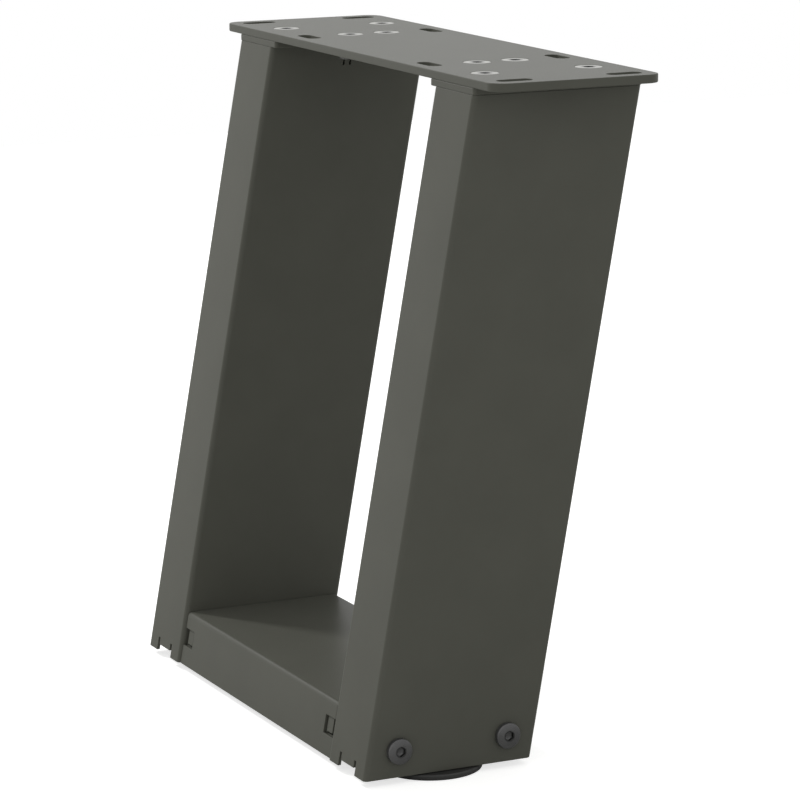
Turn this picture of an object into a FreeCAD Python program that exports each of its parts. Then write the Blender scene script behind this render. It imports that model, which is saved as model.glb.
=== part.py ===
"""U-shaped table leg: screw plate, two leaning folded box legs, a low crosspiece and two levelling feet.

Origin on the middle of the plate's upper face, X along the plate, Y across it, Z up; millimetres.
The legs lean towards -Y on their way down, by `lean` per unit of height.
"""
import FreeCAD
import Part
import os
import re
import Sketcher

SIZES = {
    # top plate and its fixing slots
    "plate_length": 380, "plate_depth": 108, "plate_thickness": 5, "plate_corner": 10,
    "slot_length": 22, "slot_width": 9,
    "long_slot_x": 84, "long_slot_inset": 12, "short_slot_inset": 13, "short_slot_y": 35,
    # legs, set back from the plate's ends
    "overall_height": 400, "leg_inset": 25.5, "leg_width": 50, "leg_depth": 108, "lean": 0.18,
    "sheet": 2, "bend_outer": 3, "bend_inner": 1,
    "top_slit_offset": 2.2, "top_slit_width": 1.2, "top_slit_height": 13.5,
    "tab_width": 17, "relief_width": 2.5, "relief_height": 8.5, "tab_lift": 4, "lip_length": 12,
    # flange on top of each leg, and its tongue, measured inwards from the leg's middle
    "flange_thickness": 4, "flange_reach": 30.5, "tongue_reach": 66.5, "tongue_depth": 50, "tongue_corner": 6,
    # screws and nuts, one thread size throughout; screw places measured inwards from the leg's middle
    "thread": 8, "thread_play": 0.05, "hole_play": 0.5, "nut_across": 13, "nut_height": 6.5,
    "outer_screw_reach": 1.5, "outer_screw_y": 33.5, "inner_screw_reach": 52.5, "inner_screw_y": 12.5,
    "sink_diameter": 16.8, "sunk_land": 0.3, "sunk_play": 0.1, "sunk_length": 16,
    "socket_across": 5, "socket_depth": 2.8,
    "side_screw_inset": 19, "side_screw_rise": 16, "button_head": 15.4, "button_height": 4,
    "button_crown": 1, "side_screw_length": 16,
    # crosspiece between the legs, measured from a leg's inner wall
    "cross_height": 33, "cross_recess": 1.5, "cross_top_gap": 1, "cross_foot_gap": 0.2,
    "notch_depth": 14.2, "notch_height": 11, "notch_rise": 12,
    # bracket inside each end of the crosspiece
    "bracket_sheet": 2.5, "ear_length": 27, "ear_trim": 1.5, "boss_height": 1, "boss_from_wall": 12.1,
    "boss_width": 7.6, "boss_gap_below": 1.4, "boss_gap_above": 0.6,
    # bracket, nut, stud and pad of each levelling foot
    "foot_sheet": 3, "foot_bracket_height": 25, "foot_bracket_play": 0.3, "foot_bracket_end_gap": 4,
    "stud_above": 26.5, "collar_across": 13, "collar_height": 4, "rivet_head": 13, "rivet_thickness": 1.2,
    "pad_diameter": 62, "pad_thickness": 3.5, "pad_web": 2, "pad_gap": 0.5, "pad_edge": 0.8, "pad_recess": 14.5,
    # how far a cutting shape runs past the face that it opens
    "overcut": 1,
}
NEAR = 1e-4
COUNTERSINK_TAPER = -45

doc = FreeCAD.newDocument("table_leg")
sizes = doc.addObject("Spreadsheet::Sheet", "Sizes")
for row, (name, value) in enumerate(SIZES.items(), start=1):
    sizes.set(f"A{row}", name)
    sizes.set(f"B{row}", str(value))
    sizes.setAlias(f"B{row}", name)
doc.recompute()

# Places that several parts share, as expressions.
LEG_TOP = "(0 - plate_thickness - flange_thickness)"
LEG_FOOT = "(0 - overall_height)"
LEG_X = "(plate_length / 2 - leg_inset - leg_width / 2)"
OUTER_WALL = f"({LEG_X} + leg_width / 2)"
INNER_WALL = f"({LEG_X} - leg_width / 2)"
CROSS_TOP = f"({LEG_FOOT} + cross_height)"
CROSS_DEPTH = "(leg_depth - 2 * cross_recess)"
NOTCH_LOW = f"({LEG_FOOT} + notch_rise)"
NOTCH_HIGH = f"({LEG_FOOT} + notch_rise + notch_height)"
BASE_TOP = f"({LEG_FOOT} + tab_lift + sheet + foot_sheet)"
SIDE_Z = f"({LEG_FOOT} + side_screw_rise)"
PAD_TOP = f"({LEG_FOOT} - pad_gap)"
WALL_Y = "(sheet * sqrt(1 + lean * lean))"
SCREW_HOLE = "thread + 2 * hole_play"
BUTTON_BALL = "((button_head * button_head / 4 + button_crown * button_crown) / (2 * button_crown))"


def ex(text):
    """Prefix every size name in an expression with the sheet's name."""
    return re.sub(r"[a-z][a-z_]+", lambda m: ("Sizes." if m.group(0) in SIZES else "") + m.group(0), str(text))


def lean_y(z):
    """Y of the legs' middle line at height z."""
    return f"(lean * ({z} - {LEG_TOP}))"


FOOT_Y = lean_y(LEG_FOOT)


class Builder:
    """One body whose sketches and features take their sizes from the sheet."""

    def __init__(self, name):
        self.body = doc.addObject("PartDesign::Body", name)
        self.body.Label = name
        self.name = name

    def sketch(self, role, offset="0"):
        plane = next(o for o in self.body.Origin.OriginFeatures if o.Role == role)
        sk = self.body.newObject("Sketcher::SketchObject", f"{self.name}_sketch")
        sk.AttachmentSupport = [(plane, "")]
        sk.MapMode = "FlatFace"
        sk.setExpression(".AttachmentOffset.Base.z", ex(offset))
        return sk

    def feature(self, kind, sk, length=None, midplane=False, reverse=False):
        """Pad or pocket of that length; a pocket without one goes through everything."""
        ft = self.body.newObject(f"PartDesign::{kind}", f"{self.name}_{kind.lower()}")
        ft.Profile = sk
        ft.Midplane = midplane
        ft.Reversed = reverse
        if length is None:
            ft.Type = "ThroughAll"
        else:
            ft.setExpression("Length", ex(length))
        doc.recompute()
        self.body.Tip = ft
        return ft

    def dress(self, kind, key, size, pick):
        """Fillet or chamfer on the tip's edges that pick(edge, shape) accepts."""
        tip = self.body.Tip
        names = [f"Edge{i}" for i, e in enumerate(tip.Shape.Edges, start=1) if pick(e, tip.Shape)]
        ft = self.body.newObject(f"PartDesign::{kind}", f"{self.name}_{kind.lower()}")
        ft.Base = (tip, names)
        ft.setExpression(key, ex(size))
        doc.recompute()
        self.body.Tip = ft

    def round_edges(self, radius, pick):
        self.dress("Fillet", "Radius", radius, pick)

    def bevel_edges(self, size, pick):
        self.dress("Chamfer", "Size", size, pick)


def polygon(sk, points):
    """Closed outline through points given as pairs of expressions."""
    first, count = sk.GeometryCount, len(points)
    guess = [FreeCAD.Vector(i, i * i, 0) for i in range(count)]
    for i in range(count):
        sk.addGeometry(Part.LineSegment(guess[i], guess[(i + 1) % count]), False)
    for i in range(count):
        sk.addConstraint(Sketcher.Constraint("Coincident", first + i, 2, first + (i + 1) % count, 1))
    for i, pair in enumerate(points):
        for axis, text in zip(("DistanceX", "DistanceY"), pair):
            at = sk.addConstraint(Sketcher.Constraint(axis, -1, 1, first + i, 1, 1.0))
            sk.setExpression(f"Constraints[{at}]", ex(text))


def box_outline(sk, x0, x1, y0, y1):
    """Rectangle between two X and two Y expressions."""
    polygon(sk, [(x0, y0), (x1, y0), (x1, y1), (x0, y1)])


def circle(sk, x, y, diameter):
    """Circle whose centre and diameter are expressions."""
    at = sk.addGeometry(Part.Circle(FreeCAD.Vector(0, 0, 0), FreeCAD.Vector(0, 0, 1), 1), False)
    for axis, text in (("DistanceX", x), ("DistanceY", y)):
        c = sk.addConstraint(Sketcher.Constraint(axis, -1, 1, at, 3, 1.0))
        sk.setExpression(f"Constraints[{c}]", ex(text))
    c = sk.addConstraint(Sketcher.Constraint("Diameter", at, 2.0))
    sk.setExpression(f"Constraints[{c}]", ex(diameter))


def slanted(sk, half, z0, z1, shift="0"):
    """Leaning outline on a YZ sketch, `half` to each side of the legs' middle line moved by `shift`."""
    lo, hi = f"({lean_y(z0)} + {shift})", f"({lean_y(z1)} + {shift})"
    corners = [(f"{lo} - {half}", z0), (f"{lo} + {half}", z0), (f"{hi} + {half}", z1), (f"{hi} - {half}", z1)]
    polygon(sk, corners)


def upright(edge, shape):
    """True for an edge that stands straight up."""
    a, b = edge.Vertexes[0].Point, edge.Vertexes[-1].Point
    return abs(a.z - b.z) > NEAR and abs(a.x - b.x) < NEAR and abs(a.y - b.y) < NEAR


def along_lean(edge, shape):
    """True for a straight edge that leans as the legs do."""
    a, b = edge.Vertexes[0].Point, edge.Vertexes[-1].Point
    return abs(a.x - b.x) < NEAR and abs(a.y - b.y - SIZES["lean"] * (a.z - b.z)) < NEAR < abs(a.z - b.z)


def sharp(edge, shape):
    """True for an edge between flat faces."""
    return all(isinstance(face.Surface, Part.Plane) for face in shape.ancestorsOfType(edge, Part.Face))


def widest_x(edge, shape):
    """True for an edge at the end of a shape that is farther from the middle."""
    reach = max(abs(shape.BoundBox.XMin), abs(shape.BoundBox.XMax))
    return all(abs(abs(v.Point.x) - reach) < NEAR for v in edge.Vertexes)


def nearest_x(edge, shape):
    """True for an edge at the end of a shape that is nearer to the middle."""
    reach = min(abs(shape.BoundBox.XMin), abs(shape.BoundBox.XMax))
    return all(abs(abs(v.Point.x) - reach) < NEAR for v in edge.Vertexes)


def at_height(edge, level):
    return all(abs(v.Point.z - level) < NEAR for v in edge.Vertexes)


def primitive(kind, name, place=("0", "0", "0"), **lengths):
    """Simple solid with its sizes and its place taken from the sheet."""
    obj = doc.addObject(f"Part::{kind}", name)
    for key, text in lengths.items():
        obj.setExpression(key, ex(text))
    for axis, text in zip("xyz", place):
        obj.setExpression(f".Placement.Base.{axis}", ex(text))
    return obj


def prism(name, place, across, height):
    """Hexagonal bar standing on its place, `across` from flat to flat."""
    obj = primitive("Prism", name, place, Circumradius=f"{across} / sqrt(3)", Height=height)
    obj.Polygon = 6
    return obj


def turn(obj, axis, angle):
    """Turn a placed solid about its own corner."""
    obj.Placement = FreeCAD.Placement(obj.Placement.Base, FreeCAD.Rotation(FreeCAD.Vector(*axis), angle))
    return obj


def cut(name, base, tool):
    obj = doc.addObject("Part::Cut", name)
    obj.Base, obj.Tool = base, tool
    return obj


def fuse(name, *parts):
    obj = doc.addObject("Part::MultiFuse", name)
    obj.Shapes = list(parts)
    return obj


def group(name, parts):
    """Several separate solids under one name."""
    obj = doc.addObject("Part::Compound", name)
    obj.Links = parts
    obj.Label = name
    return obj


def hex_nut(name, x, y, z_low):
    """Upright hexagon nut standing on z_low."""
    body = prism(f"{name}_hex", (x, y, z_low), "nut_across", "nut_height")
    bore = primitive("Cylinder", f"{name}_bore", (x, y, f"{z_low} - overcut"),
                     Radius="thread / 2 + thread_play", Height="nut_height + 2 * overcut")
    return cut(name, body, bore)


def sunk_screw(name, x, y):
    """Countersunk socket screw seated on its cone, its head just under the plate's upper face."""
    top, radius = "(0 - sunk_play)", "(sink_diameter / 2 - sunk_play - sunk_land)"
    land = primitive("Cylinder", f"{name}_land", (x, y, f"{top} - sunk_land"),
                     Radius=radius, Height="sunk_land")
    cone = primitive("Cone", f"{name}_cone", (x, y, f"{top} - sunk_land - ({radius} - thread / 2)"),
                     Radius1="thread / 2", Radius2=radius, Height=f"{radius} - thread / 2")
    shank = primitive("Cylinder", f"{name}_shank", (x, y, "0 - sunk_length"),
                      Radius="thread / 2", Height="sunk_length - sunk_land - sunk_play")
    socket = prism(f"{name}_socket", (x, y, f"{top} - socket_depth"), "socket_across", "socket_depth + overcut")
    return cut(name, fuse(f"{name}_solid", land, cone, shank), socket)


def screw_places(side):
    """The four screws that hold one leg's flange, outer pair first."""
    pairs = (("outer_screw_reach", "outer_screw_y"), ("inner_screw_reach", "inner_screw_y"))
    return [(f"{side} * ({LEG_X} - {reach})", f"{sy} * {y}") for reach, y in pairs for sy in (-1, 1)]


def side_screw_y(sy):
    """Y of one of the two button-head screws in a leg's outer wall."""
    return f"({lean_y(SIDE_Z)} + {sy} * (leg_depth / 2 - side_screw_inset))"


def make_plate():
    """Plate with four slots along its long sides, four at its ends and eight countersunk holes."""
    b = Builder("top_plate")
    sk = b.sketch("XY_Plane")
    box_outline(sk, "0 - plate_length / 2", "plate_length / 2", "0 - plate_depth / 2", "plate_depth / 2")
    b.feature("Pad", sk, "plate_thickness", reverse=True)
    b.round_edges("plate_corner", upright)

    half, reach = "slot_width / 2", "(slot_length - slot_width) / 2"
    bars, first_ends, second_ends = b.sketch("XY_Plane"), b.sketch("XY_Plane"), b.sketch("XY_Plane")
    for sx in (-1, 1):
        for sy in (-1, 1):
            x, y = f"{sx} * long_slot_x", f"{sy} * (plate_depth / 2 - long_slot_inset)"
            box_outline(bars, f"{x} - {reach}", f"{x} + {reach}", f"{y} - {half}", f"{y} + {half}")
            circle(first_ends, f"{x} - {reach}", y, "slot_width")
            circle(second_ends, f"{x} + {reach}", y, "slot_width")
            x, y = f"{sx} * (plate_length / 2 - short_slot_inset)", f"{sy} * short_slot_y"
            box_outline(bars, f"{x} - {half}", f"{x} + {half}", f"{y} - {reach}", f"{y} + {reach}")
            circle(first_ends, x, f"{y} - {reach}", "slot_width")
            circle(second_ends, x, f"{y} + {reach}", "slot_width")
    for sk in (bars, first_ends, second_ends):
        b.feature("Pocket", sk, midplane=True)

    holes, sinks = b.sketch("XY_Plane"), b.sketch("XY_Plane")
    for x, y in screw_places(-1) + screw_places(1):
        circle(holes, x, y, SCREW_HOLE)
        circle(sinks, x, y, "sink_diameter")
    b.feature("Pocket", holes, midplane=True)
    sink = b.feature("Pocket", sinks, "(sink_diameter - thread) / 2 - hole_play")
    sink.TaperAngle = COUNTERSINK_TAPER
    doc.recompute()
    return b.body


def make_flange(side, name):
    """Flange welded on the leg, with a tongue that takes the inner pair of screws."""
    b = Builder(name)
    sk = b.sketch("XY_Plane", "0 - plate_thickness")
    outer = f"{side} * {OUTER_WALL}"
    inner, tip = f"{side} * ({LEG_X} - flange_reach)", f"{side} * ({LEG_X} - tongue_reach)"
    wide, slim = "plate_depth / 2", "tongue_depth / 2"
    polygon(sk, [(outer, f"0 - {wide}"), (outer, wide), (inner, wide), (inner, slim), (tip, slim),
                 (tip, f"0 - {slim}"), (inner, f"0 - {slim}"), (inner, f"0 - {wide}")])
    b.feature("Pad", sk, "flange_thickness", reverse=True)
    b.round_edges("tongue_corner", lambda e, shape: upright(e, shape) and nearest_x(e, shape))
    holes = b.sketch("XY_Plane", "0 - plate_thickness")
    for x, y in screw_places(side):
        circle(holes, x, y, SCREW_HOLE)
    b.feature("Pocket", holes, "flange_thickness + overcut")
    return b.body


def make_leg(side, name):
    """Folded box leg: leaning tube, slits at the top of its inner wall, turned-in tabs at its foot."""
    b = Builder(name)
    mid = f"{side} * {LEG_X}"
    sk = b.sketch("YZ_Plane", mid)
    slanted(sk, "leg_depth / 2", LEG_FOOT, LEG_TOP)
    b.feature("Pad", sk, "leg_width", midplane=True)
    b.round_edges("bend_outer", along_lean)
    sk = b.sketch("YZ_Plane", mid)
    slanted(sk, f"(leg_depth / 2 - {WALL_Y})", f"({LEG_FOOT} - overcut)", f"({LEG_TOP} + overcut)")
    b.feature("Pocket", sk, "leg_width - 2 * sheet", midplane=True)
    b.round_edges("bend_inner", lambda e, shape: along_lean(e, shape) and sharp(e, shape))

    through_wall = "2 * (sheet + overcut)"
    side_holes = b.sketch("YZ_Plane", f"{side} * {OUTER_WALL}")
    for sy in (-1, 1):
        circle(side_holes, side_screw_y(sy), SIDE_Z, SCREW_HOLE)
    b.feature("Pocket", side_holes, through_wall, midplane=True)

    slits = b.sketch("YZ_Plane", f"{side} * {INNER_WALL}")
    low, high = f"({LEG_TOP} - top_slit_height)", f"({LEG_TOP} + overcut)"
    for sy in (-1, 1):
        slanted(slits, "top_slit_width / 2", low, high, f"{sy} * top_slit_offset")
    b.feature("Pocket", slits, through_wall, midplane=True)

    reliefs = b.sketch("XZ_Plane")
    near, far = "tab_width / 2", "(tab_width / 2 + relief_width)"
    below, head = f"{LEG_FOOT} - overcut", f"{LEG_FOOT} + relief_height"
    tab_low = f"({LEG_FOOT} + tab_lift)"
    polygon(reliefs, [(f"{mid} - {far}", below), (f"{mid} - {far}", head), (f"{mid} - {near}", head),
                      (f"{mid} - {near}", tab_low), (f"{mid} + {near}", tab_low), (f"{mid} + {near}", head),
                      (f"{mid} + {far}", head), (f"{mid} + {far}", below)])
    b.feature("Pocket", reliefs, midplane=True)

    lips = b.sketch("XY_Plane", tab_low)
    for sy in (-1, 1):
        wall = f"{lean_y(tab_low)} + {sy} * (leg_depth / 2 - {WALL_Y} / 2)"
        tip = f"{lean_y(tab_low)} + {sy} * (leg_depth / 2 - {WALL_Y} - lip_length)"
        box_outline(lips, f"{mid} - {near}", f"{mid} + {near}", wall, tip)
    b.feature("Pad", lips, "sheet")
    return b.body


def make_crosspiece():
    """Inverted channel whose flanges lean with the legs; each end is stepped round the brackets' bosses."""
    b = Builder("crosspiece")
    sk = b.sketch("YZ_Plane")
    slanted(sk, f"{CROSS_DEPTH} / 2", LEG_FOOT, CROSS_TOP)
    b.feature("Pad", sk, f"2 * ({INNER_WALL} - cross_foot_gap)", midplane=True)
    b.round_edges("bend_outer", lambda e, shape: widest_x(e, shape) and not along_lean(e, shape)
                  and abs(e.Vertexes[0].Point.x - e.Vertexes[-1].Point.x) > NEAR
                  and at_height(e, shape.BoundBox.ZMax))
    sk = b.sketch("YZ_Plane")
    slanted(sk, f"({CROSS_DEPTH} / 2 - {WALL_Y})", f"({LEG_FOOT} - overcut)", f"({CROSS_TOP} - sheet)")
    b.feature("Pocket", sk, midplane=True)
    ends = b.sketch("XZ_Plane")
    above = f"{CROSS_TOP} + overcut"
    for side in (-1, 1):
        foot, notch = f"{side} * ({INNER_WALL} + overcut)", f"{side} * ({INNER_WALL} - notch_depth)"
        top = f"{side} * ({INNER_WALL} - cross_top_gap)"
        polygon(ends, [(foot, NOTCH_LOW), (notch, NOTCH_LOW), (notch, NOTCH_HIGH), (top, NOTCH_HIGH),
                       (top, above), (foot, above)])
    b.feature("Pocket", ends, midplane=True)
    return b.body


def make_end_bracket(side, name):
    """U-shaped bracket on the leg's inner wall; its ears lie inside the crosspiece's flanges."""
    b = Builder(name)
    half = f"({CROSS_DEPTH} / 2 - {WALL_Y})"
    low, high = f"({LEG_FOOT} + ear_trim)", f"({CROSS_TOP} - sheet)"
    sk = b.sketch("YZ_Plane", f"{side} * {INNER_WALL}")
    slanted(sk, half, low, high)
    b.feature("Pad", sk, "ear_length", reverse=side > 0)
    b.round_edges("bend_outer", lambda e, shape: along_lean(e, shape) and widest_x(e, shape))
    sk = b.sketch("YZ_Plane", f"{side} * ({INNER_WALL} - bracket_sheet)")
    slanted(sk, f"({half} - bracket_sheet)", f"({low} - overcut)", f"({high} + overcut)")
    b.feature("Pocket", sk, "ear_length", reverse=side < 0)
    for sy in (-1, 1):
        sk = b.sketch("YZ_Plane", f"{side} * ({INNER_WALL} - boss_from_wall + boss_width / 2)")
        levels = (f"({NOTCH_LOW} + boss_gap_below)", f"({NOTCH_HIGH} - boss_gap_above)")
        face = [f"{lean_y(z)} + {sy} * ({half} + boss_height)" for z in levels]
        root = [f"{lean_y(z)} + {sy} * ({half} - bracket_sheet / 2)" for z in levels]
        polygon(sk, [(root[0], levels[0]), (face[0], levels[0]), (face[1], levels[1]), (root[1], levels[1])])
        b.feature("Pad", sk, "boss_width", midplane=True)
    return b.body


def make_foot_bracket(side, name):
    """Folded bracket in the leg's foot: base on the turned-in tabs, upright against the outer wall."""
    b = Builder(name)
    outer = f"{side} * ({OUTER_WALL} - sheet)"
    inner = f"{side} * ({INNER_WALL} + sheet + foot_bracket_play)"
    centre, half = lean_y(BASE_TOP), f"(leg_depth / 2 - {WALL_Y} - foot_bracket_end_gap)"
    base = b.sketch("XY_Plane", BASE_TOP)
    box_outline(base, outer, inner, f"{centre} - {half}", f"{centre} + {half}")
    b.feature("Pad", base, "foot_sheet", reverse=True)
    low = f"({BASE_TOP} - foot_sheet)"
    high = f"({low} + foot_bracket_height)"
    shift = f"lean * ({high} - {BASE_TOP})"
    side_face = b.sketch("YZ_Plane", outer)
    polygon(side_face, [(f"{centre} - {half}", low), (f"{centre} + {half}", low),
                        (f"{centre} + {half} + {shift}", high), (f"{centre} - {half} + {shift}", high)])
    b.feature("Pad", side_face, "foot_sheet", reverse=side > 0)
    b.round_edges("bend_inner", lambda e, shape: widest_x(e, shape) and at_height(e, shape.BoundBox.ZMin))
    hole = b.sketch("XY_Plane", BASE_TOP)
    circle(hole, f"{side} * {LEG_X}", FOOT_Y, SCREW_HOLE)
    b.feature("Pocket", hole, "foot_sheet + overcut")
    screws = b.sketch("YZ_Plane", outer)
    for sy in (-1, 1):
        circle(screws, side_screw_y(sy), SIDE_Z, SCREW_HOLE)
    b.feature("Pocket", screws, "2 * (foot_sheet + overcut)", midplane=True)
    return b.body


def make_side_screws(side, name):
    """Low-head socket screws with a slight crown, through the leg's outer wall into the foot bracket."""
    parts = []
    for k, sy in enumerate((-1, 1), start=1):
        y = side_screw_y(sy)

        def out(distance):
            return f"{side} * ({OUTER_WALL} + {distance})", y, SIDE_Z

        ball = primitive("Sphere", f"{name}_ball_{k}", out(f"button_height - {BUTTON_BALL}"),
                         Radius=BUTTON_BALL)
        slab = turn(primitive("Cylinder", f"{name}_slab_{k}", out("0"), Radius="button_head / 2",
                              Height="button_height"), (0, 1, 0), 90 * side)
        dome = doc.addObject("Part::Common", f"{name}_dome_{k}")
        dome.Base, dome.Tool = ball, slab
        shank = turn(primitive("Cylinder", f"{name}_shank_{k}", out("overcut"), Radius="thread / 2",
                               Height="side_screw_length + overcut"), (0, 1, 0), -90 * side)
        socket = turn(prism(f"{name}_socket_{k}", out("button_height - socket_depth"), "socket_across",
                            "socket_depth + overcut"), (0, 1, 0), 90 * side)
        parts.append(cut(f"{name}_{k}", fuse(f"{name}_solid_{k}", dome, shank), socket))
    return group(name, parts)


def make_side_nuts(side, name):
    """Weld nuts on the foot bracket's upright."""
    face = f"({OUTER_WALL} - sheet - foot_sheet)"
    lay_down = FreeCAD.Rotation(FreeCAD.Vector(0, 1, 0), -90 * side)
    point_up = FreeCAD.Rotation(FreeCAD.Vector(0, 0, 1), 90)
    parts = []
    for k, sy in enumerate((-1, 1), start=1):
        y = side_screw_y(sy)
        body = prism(f"{name}_hex_{k}", (f"{side} * {face}", y, SIDE_Z), "nut_across", "nut_height")
        body.Placement = FreeCAD.Placement(body.Placement.Base, lay_down.multiply(point_up))
        bore = turn(primitive("Cylinder", f"{name}_bore_{k}", (f"{side} * ({face} + overcut)", y, SIDE_Z),
                              Radius="thread / 2 + thread_play", Height="nut_height + 2 * overcut"),
                    (0, 1, 0), -90 * side)
        parts.append(cut(f"{name}_{k}", body, bore))
    return group(name, parts)


def make_foot_stud(side, name):
    """Threaded stud with a hexagon collar above the pad and a riveted head below it."""
    x = f"{side} * {LEG_X}"
    rod = primitive("Cylinder", f"{name}_rod", (x, FOOT_Y, f"{PAD_TOP} - pad_web"),
                    Radius="thread / 2", Height="pad_web + stud_above")
    collar = prism(f"{name}_collar", (x, FOOT_Y, PAD_TOP), "collar_across", "collar_height")
    head = primitive("Cylinder", f"{name}_head", (x, FOOT_Y, f"{PAD_TOP} - pad_web - rivet_thickness"),
                     Radius="rivet_head / 2", Height="rivet_thickness")
    stud = fuse(name, rod, collar, head)
    stud.Label = name
    return stud


def make_foot_pad(side, name):
    """Flat round pad, recessed underneath for the stud's riveted head."""
    b = Builder(name)
    x = f"{side} * {LEG_X}"
    sk = b.sketch("XY_Plane", PAD_TOP)
    circle(sk, x, FOOT_Y, "pad_diameter")
    b.feature("Pad", sk, "pad_thickness", reverse=True)
    b.bevel_edges("pad_edge", lambda e, shape: True)
    sk = b.sketch("XY_Plane", f"{PAD_TOP} - pad_web")
    circle(sk, x, FOOT_Y, "pad_recess")
    b.feature("Pocket", sk, "pad_thickness")
    sk = b.sketch("XY_Plane", PAD_TOP)
    circle(sk, x, FOOT_Y, "thread + 2 * thread_play")
    b.feature("Pocket", sk, "pad_thickness + overcut")
    return b.body


def make_top_nuts(side, name):
    """Weld nuts under the flange, one for each plate screw."""
    low = f"({LEG_TOP} - nut_height)"
    places = enumerate(screw_places(side), start=1)
    return group(name, [hex_nut(f"{name}_{k}", x, y, low) for k, (x, y) in places])


def make_top_screws(side, name):
    """Countersunk screws that hold the plate on one leg's flange."""
    places = enumerate(screw_places(side), start=1)
    return group(name, [sunk_screw(f"{name}_{k}", x, y) for k, (x, y) in places])


def make_foot_nut(side, name):
    """Weld nut on the foot bracket, in which the foot's stud turns."""
    nut = hex_nut(name, f"{side} * {LEG_X}", FOOT_Y, BASE_TOP)
    nut.Label = name
    return nut


LEG_PARTS = {
    "leg": make_leg, "flange": make_flange, "end_bracket": make_end_bracket, "foot_bracket": make_foot_bracket,
    "side_screws": make_side_screws, "side_nuts": make_side_nuts, "foot_stud": make_foot_stud,
    "foot_pad": make_foot_pad, "top_nuts": make_top_nuts, "top_screws": make_top_screws, "foot_nut": make_foot_nut,
}
outputs = [make_plate(), make_crosspiece()]
for side, tag in ((-1, "left"), (1, "right")):
    for part_name, make in LEG_PARTS.items():
        outputs.append(make(side, f"{tag}_{part_name}"))
doc.recompute()

for obj in doc.Objects:
    if any(word in ("Invalid", "Error") for word in obj.State):
        raise RuntimeError(f"{obj.Name}: {obj.State}")
os.makedirs("parts", exist_ok=True)
for obj in outputs:
    shape = obj.Shape
    if shape.isNull() or not shape.isValid() or not shape.Solids:
        raise RuntimeError(f"{obj.Label}: bad shape")
    print(f"{obj.Label:22s} solids {len(shape.Solids)}  volume {shape.Volume:10.1f}  {shape.BoundBox}")
    shape.exportStep(f"parts/{obj.Label}.step")
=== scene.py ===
import math

import bmesh
import bpy
import numpy as np
from mathutils import Matrix, Vector
from mathutils.geometry import delaunay_2d_cdt


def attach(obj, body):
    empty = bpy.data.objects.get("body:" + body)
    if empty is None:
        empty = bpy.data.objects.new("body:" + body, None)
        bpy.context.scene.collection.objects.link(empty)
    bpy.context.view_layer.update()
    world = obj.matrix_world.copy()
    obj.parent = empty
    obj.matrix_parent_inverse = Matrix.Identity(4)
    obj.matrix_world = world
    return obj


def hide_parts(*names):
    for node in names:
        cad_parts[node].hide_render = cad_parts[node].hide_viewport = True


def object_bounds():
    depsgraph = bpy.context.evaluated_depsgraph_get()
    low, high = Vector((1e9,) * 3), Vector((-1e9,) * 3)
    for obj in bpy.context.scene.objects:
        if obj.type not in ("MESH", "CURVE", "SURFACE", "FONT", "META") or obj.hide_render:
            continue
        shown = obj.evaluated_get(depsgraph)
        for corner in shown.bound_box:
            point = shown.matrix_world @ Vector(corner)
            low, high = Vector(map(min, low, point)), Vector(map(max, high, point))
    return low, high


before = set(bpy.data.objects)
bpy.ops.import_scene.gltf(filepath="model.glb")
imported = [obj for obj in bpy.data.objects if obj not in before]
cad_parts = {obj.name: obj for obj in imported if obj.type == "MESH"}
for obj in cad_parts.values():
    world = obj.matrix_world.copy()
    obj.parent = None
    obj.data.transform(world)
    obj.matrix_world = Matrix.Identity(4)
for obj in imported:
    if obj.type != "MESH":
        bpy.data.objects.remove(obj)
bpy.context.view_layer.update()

# Screw plate: 5 mm steel, laser cut with four slots along its long sides, four at its ends and
# eight countersunk holes, then powder coated a warm dark grey. It lies on the legs' flanges.
PLATE_HALF_X, PLATE_HALF_Y, PLATE_THICK, PLATE_CORNER = 190.0, 54.0, 5.0, 10.0
SLOT_REACH, SLOT_HALF = 11.0, 4.5
SLOTS = ((84.0, 42.0, SLOT_REACH, SLOT_HALF), (177.0, 35.0, SLOT_HALF, SLOT_REACH))
SCREW_PLACES = ((138.0, 33.5), (87.0, 12.5))
SINK_RADIUS, HOLE_RADIUS = 8.4, 4.5
PLATE_ROUNDING, SLOT_ROUNDING, SINK_ROUNDING, SINK_LAND = 0.6, 0.35, 0.2, 0.3
OUTLINE_STEP, HOLE_STEP, WIDEST_TURN = 2.5, 0.9, 0.4
COAT_DARK, COAT_LIGHT = (0.108, 0.1095, 0.0925, 1), (0.114, 0.1155, 0.0975, 1)


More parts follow.
